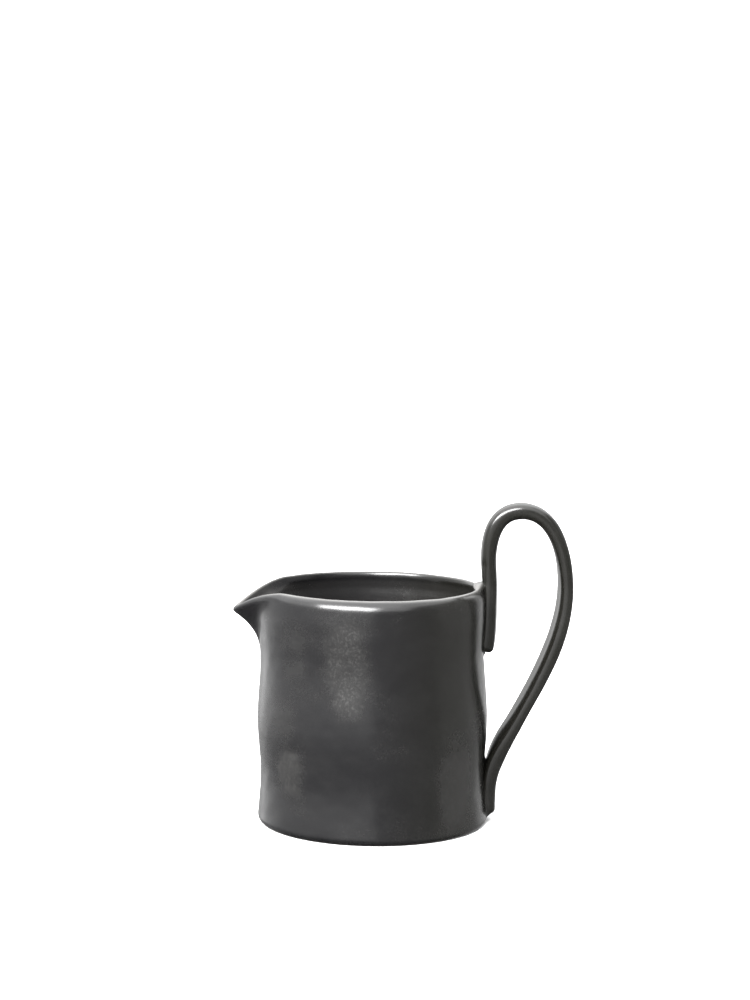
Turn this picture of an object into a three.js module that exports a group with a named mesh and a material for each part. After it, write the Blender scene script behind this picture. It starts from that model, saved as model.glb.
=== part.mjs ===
// A small hand-built milk jug with a pinched spout and a flattened coil handle.
//
// Lengths are in millimetres and angles in radians. The jug stands on z = 0 with its axis on Z.
// The spout points along -X and the handle along +X. Each piece of clay is its own solid. All
// pieces are shaped round an upright axis and then lean together, a little towards the spout.

import * as THREE from 'three';

const degrees = Math.PI / 180;

// Driving dimensions: the cup
const bodyRadius = 39.6; // mean outer radius of the wall
const rimHeight = 82.5; // crest of the rim above the table
const wallThickness = 3.4;
const mouthTaper = 0.6; // how much the wall draws in from its middle to the rim
const swell = 0.48; // the wall's soft rings stand this far out and in
const swellPitch = 40; // height from one ring to the next
const swellHeight = 36.5; // height of the ring at the middle of the wall
const footFlare = 0.2; // the wall widens this much at the table
const footFlareHeight = 6;
const leanAngle = 0.58 * degrees; // of the whole jug towards its spout

// Driving dimensions: the rim
const rimRoundOutside = 3.8; // height of the rounding outside the crest
const rimRoundInside = 1.0; // height of the rounding inside the crest
const crestShare = 0.85; // where the crest lies in the wall, from the outer face
const fingerGroove = 0.3; // depth of the groove left by the finger below the rim
const fingerGrooveDrop = 5.7; // its distance below the crest
const fingerGrooveWidth = 3.2;

// Driving dimensions: the floor
const floorThickness = 4.5;
const footRounding = 2.4; // radius of the lower outer edge
const seamCoilSize = 4; // height and width of the hollow seam coil

// Driving dimensions: the spout
const spoutProjection = 8.8; // how far the tip stands out from the wall
const spoutRootHeight = 57; // where the underside starts to leave the wall
const spoutLipHeight = 2.2; // the lip stands this far above the underside, all along
const spoutCurve = 2.75; // how sharply the underside sweeps out
const spoutNoseRounding = 0.6; // where the underside turns up into the lip
const spoutHalfAngle = 52 * degrees; // from the spout's middle to a flank, seen from above
const spoutBlunting = 1.8 * degrees; // rounding of the tip, seen from the axis
const spoutBlend = 1.4; // width of the hollow where a flank meets the wall
const spoutFlare = 0.2; // slope of the lip's outer face
const spoutWall = 2.4; // the clay is pinched thinner here
const spoutLipRounding = 2.2; // height of the outer rounding at the tip
const spoutFadeStart = 24 * degrees;
const spoutFadeEnd = 42 * degrees;
const lipSink = 7.3; // how far the lip drops from the rim to the tip
const lipSinkLength = 15.5; // over this length
const lipSinkCurve = 1.34;

// Driving dimensions: the handle
const coilThickness = 5.6; // of the flattened coil, seen from the side
const coilBreadth = 10; // across the jug
const coilSquareness = 3; // of its section: 2 is an oval, and more is squarer
const coilUnevenness = 0.17; // the rolled coil is this much thicker and thinner by turns
const coilUnevenPitch = 65; // from one thick place to the next
const coilThickPlace = 63; // the first thick place, along the coil from its lower end
const archHeight = 26.5; // top of the coil's centre line above the rim
const archTopReach = 12; // from the wall to the top of the arch
const archFootHeight = 9.5; // the arch begins this far above the rim
const archFootReach = 0.55;
const handleReach = 27.2; // from the wall to the coil's centre line at its widest
const handleWidestHeight = 83.1; // height of the widest point
const shoulderHeight = 43.3; // upper end of the straight slant
const shoulderReach = 14.25; // its distance from the wall
const elbowHeight = 34.6; // lower end of the straight slant
const elbowReach = 9.5; // its distance from the wall

// Lengths of the tangents that set the bends of the handle's centre line
const lowerBendTangents = [10, 3.5]; // at the lower seat and at the elbow
const upperBendTangents = [20.4, 11]; // at the shoulder and below the widest point
const archOuterTangents = [12.1, 11.1]; // above the widest point and at the top
const archInnerTangents = [8.9, 8.4]; // at the top and at the arch's foot

// Driving dimensions: the handle's two seats
const upperSeatLength = 22.9; // the coil lies on the wall this far below the rim
const upperSeatOffset = -0.1; // from the wall's mean radius to the coil's end
const upperSeatCrown = 2.5; // the tangent where it bears on the wall stands out this far
const upperSeatCrownDepth = 10.5; // below the rim
const upperSeatPress = 0.9; // the wall is pushed in this far behind the coil
const upperSeatPressWidth = 6;
const lowerSeatTop = 20.5; // the coil meets the wall here
const lowerSeatBottom = 2.8; // lower end of the coil
const lowerSeatOffset = 1.15;
const lowerEndFlattening = 0.7; // the coil is this much thinner at its lower end
const elbowThickening = 0.5; // and this much thicker just above its lower seat
const coilEndRounding = 2.2;

// Driving dimensions: the joining clay
const jointClearance = 0.3; // between pieces that follow one another's curves
const jointHeight = 1.5; // how far the clay climbs up the coil
const upperJointWidth = 1.4; // how far it spreads over the wall
const upperJointTopShare = 0.6; // of the full height, where it crosses the rim
const lowerJointWidth = 1.3;
const lowerJointRise = 1; // it runs on this far above the lower seat
const lowerJointEndShare = 0.2; // of the full height, where it runs out up the coil
const jointEdge = 0.25; // thickness where it runs out
const probeLength = 0.05; // half the distance over which the skin's slope is measured

// Resolution
const fineStep = 1.5 * degrees; // round the tip of the spout
const mediumStep = 3 * degrees; // over the flanks
const coarseStep = 6 * degrees; // elsewhere
const lowerWallRows = 9;
const upperWallRows = 11;
const outerRoundingRows = 5;
const innerRoundingRows = 4;
const coilSides = 16;
const coilStep = 2.8; // distance from one section of the coil to the next
const coilEndRows = 4;
const hollowRows = 4; // over the hollow face of a fillet
const jointEndStops = 8; // round each end of a joint
const upperJointStops = 7; // along each side
const lowerJointStops = 6;

const spoutTipHeight = rimHeight - lipSink - spoutLipHeight; // underside of the tip
const coilHalf = coilThickness / 2;
const coilHalfBreadth = coilBreadth / 2;
const jointHalfBreadth = coilHalfBreadth + jointClearance;
const tipHalfWidth = 15 * degrees;
const seatHalfWidth = 18 * degrees;

// Helpers

const clamp01 = (value) => Math.min(1, Math.max(0, value));

function smoothStep(low, high, value) {
  const share = clamp01((value - low) / (high - low));
  return share * share * (3 - 2 * share);
}

const bell = (distance, width) => Math.exp(-((distance / width) ** 2));

function steps(from, to, step) {
  const count = Math.max(1, Math.round((to - from) / step));
  return Array.from({ length: count }, (_, i) => from + ((to - from) * i) / count);
}

// A quarter of an ellipse: the share of the run that is used up at a share of the rise.
const roundingInset = (share) => 1 - Math.sqrt(Math.max(0, 1 - share * share));

// Turns rows of points into one closed solid. Each row is a closed ring. The rows also close on
// one another where `looped` is set; otherwise each end is closed on the middle of its ring.
function solidFromRings(rings, looped) {
  const size = rings[0].length;
  const points = rings.flat();
  const faces = [];
  const bands = looped ? rings.length : rings.length - 1;
  for (let band = 0; band < bands; band += 1) {
    const here = band * size;
    const there = ((band + 1) % rings.length) * size;
    for (let side = 0; side < size; side += 1) {
      const next = (side + 1) % size;
      faces.push(here + side, there + side, there + next);
      faces.push(here + side, there + next, here + next);
    }
  }
  if (!looped) {
    closeEnd(rings[0], 0, false);
    closeEnd(rings[rings.length - 1], (rings.length - 1) * size, true);
  }
  const geometry = new THREE.BufferGeometry().setFromPoints(points);
  geometry.setIndex(faces);
  geometry.computeVertexNormals();
  return geometry;

  function closeEnd(ring, first, last) {
    const middle = new THREE.Vector3();
    ring.forEach((point) => middle.add(point));
    const centre = points.push(middle.divideScalar(size)) - 1;
    for (let side = 0; side < size; side += 1) {
      const here = first + side;
      const next = first + ((side + 1) % size);
      faces.push(...(last ? [centre, next, here] : [centre, here, next]));
    }
  }
}

// The cup's surfaces

// Mean outer radius at a height: soft rings, a slight taper to the mouth and a flared foot.
function cupRadius(z) {
  const ring = swell * Math.cos((2 * Math.PI * (z - swellHeight)) / swellPitch);
  const climb = Math.max(0, (z - swellHeight) / (rimHeight - swellHeight));
  return bodyRadius + ring - mouthTaper * climb ** 2 + footFlare * Math.exp(-z / footFlareHeight);
}

// How far a flank of the spout reaches out at a height, measured at the spout's middle. The
// underside sweeps out until it meets the lip, which sinks towards the tip.
function flankReach(angle, z) {
  const lipReach = (height) => spoutProjection + spoutFlare * (height - spoutTipHeight);
  const underLip = rimLevel(angle) - spoutLipHeight;
  const rise = Math.max(0, z - spoutRootHeight) / (underLip - spoutRootHeight);
  const underside = lipReach(underLip) * rise ** spoutCurve;
  const lip = lipReach(z);
  return Math.max(0, (underside + lip - Math.hypot(underside - lip, spoutNoseRounding)) / 2);
}

// Angle from the middle of the spout, which points along -X.
const fromSpout = (angle) => Math.abs(Math.atan2(Math.sin(angle), -Math.cos(angle)));

// Angle from the middle of the handle, which points along +X.
const fromHandle = (angle) => Math.abs(Math.atan2(Math.sin(angle), Math.cos(angle)));

// How far a level line stands out from its circle: two straight flanks that meet at the spout's
// middle, blunted there, and run into the circle through a hollow.
function flankBulge(angle, circle, reach) {
  const away = fromSpout(angle);
  if (reach <= 0 || away > spoutFadeEnd) return 0;
  const blunted = Math.hypot(away, spoutBlunting) - spoutBlunting;
  const turn = Math.min(spoutHalfAngle + blunted, Math.PI / 2);
  const flank = ((circle + reach) * Math.sin(spoutHalfAngle)) / Math.sin(turn) - circle;
  const blend = spoutBlend * Math.sqrt(reach / spoutProjection);
  const bulge = (flank + Math.hypot(flank, blend)) / 2;
  return bulge * (1 - smoothStep(spoutFadeStart, spoutFadeEnd, away));
}

// How far the wall is pushed in behind the upper seat of the handle.
function seatPress(angle, z) {
  const seatFoot = rimHeight - upperSeatLength;
  const upward = smoothStep(seatFoot - coilThickness, seatFoot + coilThickness, z);
  return upperSeatPress * upward * bell(fromHandle(angle) * bodyRadius, upperSeatPressWidth);
}

function outerFace(angle, z) {
  const circle = cupRadius(z);
  return circle + flankBulge(angle, circle, flankReach(angle, z)) - seatPress(angle, z);
}

function innerFace(angle, z) {
  const circle = cupRadius(z) - wallThickness;
  const spoutGain = 1 + (wallThickness - spoutWall / Math.sin(spoutHalfAngle)) / spoutProjection;
  const groove = bell(z - (rimLevel(angle) - fingerGrooveDrop), fingerGrooveWidth / 2);
  const bulge = flankBulge(angle, circle, flankReach(angle, z) * spoutGain);
  return circle + bulge - seatPress(angle, z) + fingerGroove * groove;
}

// Height of the lip's crest: level, and sinking along the spout.
function rimLevel(angle) {
  const plan = (at) => {
    const circle = cupRadius(spoutTipHeight);
    return circle + flankBulge(at, circle, spoutProjection);
  };
  const along = -plan(angle) * Math.cos(angle) - (plan(Math.PI) - lipSinkLength);
  return rimHeight - lipSink * Math.max(0, along / lipSinkLength) ** lipSinkCurve;
}

// Height of the outer rounding, which is lower at the spout.
function outerRounding(angle) {
  const spoutShare = 1 - smoothStep(0, spoutFadeStart, fromSpout(angle));
  return THREE.MathUtils.lerp(rimRoundOutside, spoutLipRounding, spoutShare);
}

// How far in the crest lies from the outer face, and the length of the rounding up to it.
function rimRounding(angle) {
  const crest = rimLevel(angle);
  const inset = crestShare * (outerFace(angle, crest) - innerFace(angle, crest));
  const run = (Math.PI / 2) * Math.sqrt((rimRoundOutside ** 2 + inset ** 2) / 2);
  return { inset, run };
}

// A point of the cup from its cylinder coordinates.
const cupPoint = (angle, radius, z) =>
  new THREE.Vector3(radius * Math.cos(angle), radius * Math.sin(angle), z);

// The closed outline of the wall at one angle: up the outside, over the lip, down the inside.
function wallSection(angle) {
  const crest = rimLevel(angle);
  const outside = outerRounding(angle);
  const outerTop = crest - outside;
  const innerTop = crest - rimRoundInside;
  const section = [];
  const add = (radius, z) => section.push(cupPoint(angle, radius, z));

  for (let row = 0; row < lowerWallRows; row += 1) {
    const z = THREE.MathUtils.mapLinear(row, 0, lowerWallRows, floorThickness, spoutRootHeight);
    add(outerFace(angle, z), z);
  }
  for (let row = 0; row < upperWallRows; row += 1) {
    const z = THREE.MathUtils.mapLinear(row, 0, upperWallRows, spoutRootHeight, outerTop);
    add(outerFace(angle, z), z);
  }
  for (let row = 0; row <= outerRoundingRows; row += 1) {
    const share = Math.sin((row / outerRoundingRows) * (Math.PI / 2));
    const z = outerTop + outside * share;
    const inset = crestShare * (outerFace(angle, z) - innerFace(angle, z));
    add(outerFace(angle, z) - inset * roundingInset(share), z);
  }
  for (let row = innerRoundingRows - 1; row >= 0; row -= 1) {
    const share = Math.sin((row / innerRoundingRows) * (Math.PI / 2));
    const z = innerTop + rimRoundInside * share;
    const inset = (1 - crestShare) * (outerFace(angle, z) - innerFace(angle, z));
    add(innerFace(angle, z) + inset * roundingInset(share), z);
  }
  for (let row = upperWallRows - 1; row >= 0; row -= 1) {
    const z = THREE.MathUtils.mapLinear(row, 0, upperWallRows, spoutRootHeight, innerTop);
    add(innerFace(angle, z), z);
  }
  for (let row = lowerWallRows - 1; row >= 0; row -= 1) {
    const z = THREE.MathUtils.mapLinear(row, 0, lowerWallRows, floorThickness, spoutRootHeight);
    add(innerFace(angle, z), z);
  }
  return section;
}

// Angles all round, close together where the spout bends the wall.
function wallAngles() {
  const away = [
    ...steps(0, tipHalfWidth, fineStep),
    ...steps(tipHalfWidth, spoutFadeEnd, mediumStep),
    ...steps(spoutFadeEnd, Math.PI - seatHalfWidth, coarseStep),
    ...steps(Math.PI - seatHalfWidth, Math.PI, mediumStep),
    Math.PI,
  ];
  const turned = away.slice(1, -1).reverse();
  return [...away.map((a) => Math.PI + a), ...turned.map((a) => Math.PI - a)];
}

// The pieces of the cup

function makeWall() {
  return solidFromRings(wallAngles().map(wallSection), true);
}

function makeFloor() {
  const rim = cupRadius(floorThickness);
  const outline = [new THREE.Vector2(0, 0)];
  for (let row = 0; row <= outerRoundingRows; row += 1) {
    const turn = (row / outerRoundingRows) * (Math.PI / 2);
    const radius = cupRadius(footRounding) - footRounding * (1 - Math.sin(turn));
    outline.push(new THREE.Vector2(radius, footRounding * (1 - Math.cos(turn))));
  }
  outline.push(new THREE.Vector2(rim, floorThickness), new THREE.Vector2(0, floorThickness));
  const geometry = new THREE.LatheGeometry(outline, Math.round((2 * Math.PI) / coarseStep));
  return geometry.rotateX(Math.PI / 2);
}

function makeSeamCoil() {
  const top = floorThickness + seamCoilSize;
  return solidFromRings(
    wallAngles().map((angle) => {
      const outer = Math.min(innerFace(angle, floorThickness), innerFace(angle, top)) - jointClearance;
      const ring = [cupPoint(angle, outer, floorThickness), cupPoint(angle, outer, top)];
      for (let row = 0; row <= hollowRows; row += 1) {
        const turn = ((row + 0.5) / (hollowRows + 1)) * (Math.PI / 2);
        const radius = outer - seamCoilSize * (1 - Math.cos(turn));
        ring.push(cupPoint(angle, radius, top - seamCoilSize * Math.sin(turn)));
      }
      ring.push(cupPoint(angle, outer - seamCoilSize, floorThickness));
      return ring;
    }),
    true,
  );
}

// The handle

const handlePoint = (reach, z) => new THREE.Vector3(bodyRadius + reach, 0, z);

// The coil's centre line, from its lower end up to the widest point, over the arch and down on
// the upper seat.
function handlePath() {
  const lowerEnd = handlePoint(lowerSeatOffset, lowerSeatBottom);
  const lowerBend = handlePoint(lowerSeatOffset, (lowerSeatBottom + lowerSeatTop) / 2);
  const elbow = handlePoint(elbowReach, elbowHeight);
  const shoulder = handlePoint(shoulderReach, shoulderHeight);
  const widest = handlePoint(handleReach, handleWidestHeight);
  const archTop = handlePoint(archTopReach, rimHeight + archHeight);
  const archFoot = handlePoint(archFootReach, rimHeight + archFootHeight);
  const crown = handlePoint(upperSeatCrown, rimHeight - upperSeatCrownDepth);
  const upperEnd = handlePoint(upperSeatOffset, rimHeight - upperSeatLength);
  const slant = shoulder.clone().sub(elbow).normalize();
  const up = new THREE.Vector3(0, 0, 1);
  const down = up.clone().negate();
  const back = new THREE.Vector3(-1, 0, 0);
  const belowArch = archFoot.clone().addScaledVector(down, archFootHeight / 2);

  const path = new THREE.CurvePath();
  const bend = (from, leaving, to, arriving, tangents) => {
    const first = from.clone().addScaledVector(leaving, tangents[0]);
    const second = to.clone().addScaledVector(arriving, -tangents[1]);
    path.add(new THREE.CubicBezierCurve3(from, first, second, to));
  };
  path.add(new THREE.LineCurve3(lowerEnd, lowerBend));
  bend(lowerBend, up, elbow, slant, lowerBendTangents);
  path.add(new THREE.LineCurve3(elbow, shoulder));
  bend(shoulder, slant, widest, up, upperBendTangents);
  bend(widest, up, archTop, back, archOuterTangents);
  bend(archTop, back, archFoot, down, archInnerTangents);
  path.add(new THREE.CubicBezierCurve3(archFoot, belowArch, crown, upperEnd));
  return path;
}

// Half the coil's thickness at a point of its path, a distance along it from the lower end.
function coilHalfThickness(point, distance) {
  const thicker = Math.cos((2 * Math.PI * (distance - coilThickPlace)) / coilUnevenPitch);
  const half = coilHalf + coilUnevenness * thicker;
  if (distance > coilThickPlace) return half;
  const flattening = lowerEndFlattening * (1 - smoothStep(lowerSeatBottom, lowerSeatTop, point.z));
  const swollen = elbowThickening * bell(point.z - (lowerSeatTop + elbowHeight) / 2, elbowHeight / 4);
  return half + swollen - flattening;
}

// Radius that the coil must stay outside of at a height: the wall and its rim, and clearance.
function coilFloor(angle, z) {
  const crest = rimLevel(angle);
  if (z > crest + jointClearance) return 0;
  const share = clamp01((z - (crest - rimRoundOutside)) / (rimRoundOutside + jointClearance));
  const { inset } = rimRounding(angle);
  return outerFace(angle, Math.min(z, crest)) - inset * roundingInset(share) + jointClearance;
}

// Turns the sine or cosine of a round section into that of a squarer one.
const squared = (value) => Math.sign(value) * Math.abs(value) ** (2 / coilSquareness);

// Sections of a rounded end of the coil: their distance from the tip and their share of the size.
function roundedEnd() {
  return Array.from({ length: coilEndRows - 1 }, (_, row) => {
    const turn = ((row + 1) / coilEndRows) * (Math.PI / 2);
    return { inset: coilEndRounding * (1 - Math.cos(turn)), shrink: Math.sin(turn) };
  });
}

function makeHandle() {
  const path = handlePath();
  const length = path.getLength();
  const middle = steps(coilEndRounding, length - coilEndRounding, coilStep);
  const stations = [
    ...roundedEnd().map(({ inset, shrink }) => ({ at: inset, shrink })),
    ...middle.map((at) => ({ at, shrink: 1 })),
    { at: length - coilEndRounding, shrink: 1 },
    ...roundedEnd().reverse().map(({ inset, shrink }) => ({ at: length - inset, shrink })),
  ];

  const across = new THREE.Vector3(0, 1, 0);
  const rings = stations.map(({ at, shrink }) => {
    const share = at / length;
    const centre = path.getPointAt(share);
    const tangent = path.getTangentAt(share);
    const outward = new THREE.Vector3().crossVectors(across, tangent);
    const half = coilHalfThickness(centre, at);
    return Array.from({ length: coilSides }, (_, side) => {
      const turn = (-2 * Math.PI * side) / coilSides;
      const point = centre.clone();
      point.addScaledVector(outward, half * shrink * squared(Math.cos(turn)));
      point.addScaledVector(across, coilHalfBreadth * shrink * squared(Math.sin(turn)));
      return keptOffWall(point);
    });
  });
  return solidFromRings(rings, false);
}

// Moves a point of the coil out to the wall's face where the coil is pressed on it.
function keptOffWall(point) {
  const angle = Math.atan2(point.y, point.x);
  const radius = Math.hypot(point.x, point.y);
  const least = coilFloor(angle, point.z);
  return radius < least ? cupPoint(angle, least, point.z) : point;
}

// The joining clay

// A point on the cup's outer skin and the skin's normal there. `along` is the height up the wall,
// and runs on over the rim as the length of its rounding.
function skin(across, along) {
  const angle = across / bodyRadius;
  const at = (distance) => {
    const crest = rimLevel(angle);
    const outerTop = crest - rimRoundOutside;
    const { inset, run } = rimRounding(angle);
    if (distance < footRounding) {
      const share = 1 - Math.max(0, distance) / footRounding;
      return [cupRadius(footRounding) - footRounding * roundingInset(share), distance];
    }
    if (distance <= outerTop) return [outerFace(angle, distance), distance];
    const turn = ((distance - outerTop) / run) * (Math.PI / 2);
    const z = outerTop + rimRoundOutside * Math.sin(turn);
    return [outerFace(angle, Math.min(z, crest)) - inset * (1 - Math.cos(turn)), z];
  };
  const [radius, z] = at(along);
  const [lowRadius, lowZ] = at(along - probeLength);
  const [highRadius, highZ] = at(along + probeLength);
  const normal = cupPoint(angle, highZ - lowZ, lowRadius - highRadius).normalize();
  return { point: cupPoint(angle, radius, z), normal };
}

// A fillet of clay carried along an outline on the skin. Each stop has a place, the direction
// away from the coil, and a share of the full height.
function makeJoint(stops, width, looped) {
  const profile = [[0, 0], [width / 3, 0], [(2 * width) / 3, 0], [width, 0], [width, jointEdge]];
  for (let row = 1; row <= hollowRows; row += 1) {
    const turn = (row / hollowRows) * (Math.PI / 2);
    const height = THREE.MathUtils.lerp(jointHeight, jointEdge, Math.cos(turn));
    profile.push([width * (1 - Math.sin(turn)), height]);
  }
  const rings = stops.map(({ across, along, outward, share }) =>
    profile.map(([offset, height]) => {
      const place = skin(across + outward[0] * offset, along + outward[1] * offset);
      return place.point.addScaledVector(place.normal, jointClearance + height * share);
    }),
  );
  return solidFromRings(rings, looped);
}

// Stops round one end of the outline, which is as square as the coil's section. Its normal goes
// with each coordinate to the power of the squareness less one.
function outlineEnd(middle, halfLength, from, count) {
  const slope = (value) => Math.sign(value) * Math.abs(value) ** (coilSquareness - 1);
  return Array.from({ length: count + 1 }, (_, i) => {
    const turn = from + (Math.PI * i) / count;
    const x = squared(Math.cos(turn));
    const y = squared(Math.sin(turn));
    const normal = new THREE.Vector2(slope(x) / jointHalfBreadth, slope(y) / halfLength).normalize();
    const along = middle + halfLength * y;
    return { across: jointHalfBreadth * x, along, outward: normal.toArray(), share: 1 };
  });
}

// Stops along a straight side of the outline, without its ends.
function side(across, from, to, count) {
  return Array.from({ length: count - 1 }, (_, i) => {
    const along = from + ((to - from) * (i + 1)) / count;
    return { across, along, outward: [Math.sign(across), 0], share: 1 };
  });
}

function makeUpperJoint() {
  const top = rimHeight - rimRoundOutside + rimRounding(0).run - coilHalf;
  const bottom = rimHeight - upperSeatLength + coilEndRounding;
  const stops = [
    ...outlineEnd(top, coilHalf + jointClearance, 0, jointEndStops),
    ...side(-jointHalfBreadth, top, bottom, upperJointStops),
    ...outlineEnd(bottom, coilEndRounding + jointClearance, Math.PI, jointEndStops),
    ...side(jointHalfBreadth, bottom, top, upperJointStops),
  ];
  stops.forEach((stop) => {
    const crossing = smoothStep(top - coilHalf, top + coilHalf, stop.along);
    stop.share = THREE.MathUtils.lerp(1, upperJointTopShare, crossing);
  });
  return makeJoint(stops, upperJointWidth, true);
}

function makeLowerJoint() {
  const top = lowerSeatTop + lowerJointRise;
  const bottom = lowerSeatBottom + coilEndRounding;
  const stops = [
    ...side(-jointHalfBreadth, top, bottom, lowerJointStops),
    ...outlineEnd(bottom, coilEndRounding + jointClearance, Math.PI, jointEndStops),
    ...side(jointHalfBreadth, bottom, top, lowerJointStops),
  ];
  stops.forEach((stop) => {
    const runningOut = smoothStep(lowerSeatTop - coilThickness, lowerSeatTop, stop.along);
    stop.share = THREE.MathUtils.lerp(1, lowerJointEndShare, runningOut);
  });
  return makeJoint(stops, lowerJointWidth, false);
}

// Finishes

const charcoalGlaze = { color: 0x35332f, roughness: 0.3, metalness: 0 };
const bareClay = { color: 0x4a4038, roughness: 0.85, metalness: 0 };

// A named piece, leaning with the rest of the jug: its height moves each point along -X.
function piece(name, geometry, finish) {
  geometry.applyMatrix4(new THREE.Matrix4().makeShear(0, 0, 0, 0, -Math.tan(leanAngle), 0));
  const mesh = new THREE.Mesh(geometry, new THREE.MeshStandardMaterial(finish));
  mesh.name = name;
  return mesh;
}

const jug = new THREE.Group();
jug.add(
  piece('floor_slab', makeFloor(), bareClay),
  piece('spouted_wall', makeWall(), charcoalGlaze),
  piece('floor_seam_coil', makeSeamCoil(), charcoalGlaze),
  piece('handle_coil', makeHandle(), charcoalGlaze),
  piece('upper_handle_joint', makeUpperJoint(), charcoalGlaze),
  piece('lower_handle_joint', makeLowerJoint(), charcoalGlaze),
);

export default jug;
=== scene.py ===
"""A small hand-built stoneware milk jug, dressed for a studio photograph.

The jug is one fired body: a straight cup with a pinched spout, and a rolled coil handle that is
pressed on low down, arches over the rim and comes down on the wall opposite the spout. Shapes
are worked out in millimetres round an upright axis, lean together a little towards the spout,
and go into the meshes in metres. The spout points along -X and the handle along +X.
"""

import logging
import math
from collections.abc import Mapping, Sequence
from dataclasses import dataclass, field
from enum import Enum
from functools import cached_property
from typing import Any, Union

import bpy
import numpy as np
from mathutils import Matrix, Vector


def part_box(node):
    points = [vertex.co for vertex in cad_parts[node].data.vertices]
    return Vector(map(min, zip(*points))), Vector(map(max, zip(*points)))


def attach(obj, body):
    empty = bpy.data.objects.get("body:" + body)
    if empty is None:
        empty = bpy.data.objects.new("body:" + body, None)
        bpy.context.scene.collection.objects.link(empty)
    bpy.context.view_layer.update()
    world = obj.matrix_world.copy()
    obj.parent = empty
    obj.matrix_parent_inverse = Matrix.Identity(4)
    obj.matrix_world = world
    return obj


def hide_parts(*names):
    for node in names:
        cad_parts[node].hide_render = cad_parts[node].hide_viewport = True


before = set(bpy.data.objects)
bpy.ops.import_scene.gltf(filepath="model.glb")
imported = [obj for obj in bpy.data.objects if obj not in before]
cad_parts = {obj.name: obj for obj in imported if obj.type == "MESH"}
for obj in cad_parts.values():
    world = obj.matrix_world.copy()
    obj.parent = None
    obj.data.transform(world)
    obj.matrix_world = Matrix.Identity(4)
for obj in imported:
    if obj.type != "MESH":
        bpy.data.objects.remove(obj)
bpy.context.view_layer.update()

log = logging.getLogger("milk_jug")

MM = 0.001
LEAN = math.tan(math.radians(0.58))  # each piece leans this much along -X for its height
THIN_GLAZE_AND_PAINTED_LIGHT = "thin_glaze_and_painted_light"  # the attribute that marks the painted highlight along the crest, where the glaze also runs thin, and painted light inside the mouth

Array = np.ndarray
Colour = tuple[float, float, float]


class Slot(Enum):
    """The record's material slots."""

    GLAZE = "glaze"
    BARE_CLAY = "bare_clay"


# Shapes on arrays


def smooth_step(low: float, high: float, value: Array) -> Array:
    """Runs smoothly from 0 at one value to 1 at another: 3 s^2 - 2 s^3 of the share s.

    Args:
        low: The value that gives 0.
        high: The value that gives 1.
        value: Where it is wanted.

    Returns:
        Numbers from 0 to 1, in the shape of value.
    """
    share = np.clip((value - low) / (high - low), 0.0, 1.0)
    return share * share * (3.0 - 2.0 * share)


def bell(distance: Array, width: float) -> Array:
    """Returns a bell curve: e to the minus (distance over width) squared."""
    return np.exp(-((distance / width) ** 2))


def rounding_inset(share: Array) -> Array:
    """Returns the run of a quarter ellipse at a share of its rise: 1 - sqrt(1 - share^2)."""
    return 1.0 - np.sqrt(np.maximum(0.0, 1.0 - share * share))


def cylinder_points(angle: Array, radius: Array, z: Array) -> Array:
    """Turns cylinder coordinates into points: (r cos a, r sin a, z).

    Args:
        angle: Angles from +X, in radians.
        radius: Distances from the axis.
        z: Heights.

    Returns:
        An array of points, in the common shape of the three with a last axis of 3.
    """
    angle, radius, z = np.broadcast_arrays(angle, radius, z)
    return np.stack([radius * np.cos(angle), radius * np.sin(angle), z], axis=-1)


def grid_normals(grid: Array) -> Array:
    """Works out the outward normals of a grid whose columns close on one another.

    The normal is the cross product of the differences along a row and along a column.

    Args:
        grid: Points, rows by columns by 3.

    Returns:
        Unit normals in the shape of the grid.
    """
    along = np.roll(grid, -1, axis=1) - np.roll(grid, 1, axis=1)
    up = np.gradient(grid, axis=0)
    normals = np.cross(along, up)
    return normals / np.maximum(np.linalg.norm(normals, axis=-1, keepdims=True), 1e-9)


@dataclass(frozen=True)
class Waves:
    """Soft unevenness: many plane waves of like length in random directions, added up."""

    seed: int
    wavelength: float
    count: int = 36
    spread: float = 0.35
    stretch: tuple[float, float, float] = (1.0, 1.0, 1.0)

    def __call__(self, points: Array) -> Array:
        """Adds up sin(2 pi (p . d) / wavelength + phase) over the waves.

        Args:
            points: Points in millimetres, with a last axis of 3.

        Returns:
            Values of about -1 to 1, one for each point.
        """
        draw = np.random.default_rng(self.seed)
        directions = draw.normal(size=(self.count, 3))
        directions /= np.linalg.norm(directions, axis=1, keepdims=True)
        lengths = self.wavelength * draw.uniform(1 - self.spread, 1 + self.spread, self.count)
        phases = draw.uniform(0, 2 * math.pi, self.count)
        turns = (points / np.array(self.stretch)) @ (directions / lengths[:, None]).T
        return np.sin(2 * math.pi * turns + phases).sum(axis=-1) / math.sqrt(2 * self.count)


@dataclass(frozen=True)
class Dent:
    """A mark of the maker's hand on the wall: a bell that sinks in, or stands out below 0."""

    angle: float  # degrees from +X, seen from above; the front of the jug is at 270
    height: float
    half_width: float
    half_height: float
    depth: float

    def sink(self, across: Array, z: Array, radius: float) -> Array:
        """Works out how far the mark sinks in: depth times a bell across times a bell up.

        Args:
            across: Angles of the points, in radians.
            z: Heights of the points.
            radius: Radius of the wall, which turns angles into lengths.

        Returns:
            Depths in millimetres.
        """
        turn = np.angle(np.exp(1j * (across - math.radians(self.angle)))) * radius
        return self.depth * bell(turn, self.half_width) * bell(z - self.height, self.half_height)


# Meshes


def closed_grid_faces(rows: int, columns: int) -> Array:
    """Numbers the four corners of each cell of a grid whose columns close on one another.

    Args:
        rows: Rows of points.
        columns: Points in a row.

    Returns:
        One row of four point numbers for each cell.
    """
    row, column = np.meshgrid(np.arange(rows - 1), np.arange(columns), indexing="ij")
    following = (column + 1) % columns
    corners = [row * columns + column, row * columns + following]
    corners += [(row + 1) * columns + following, (row + 1) * columns + column]
    return np.stack(corners, axis=-1).reshape(-1, 4)


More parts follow.
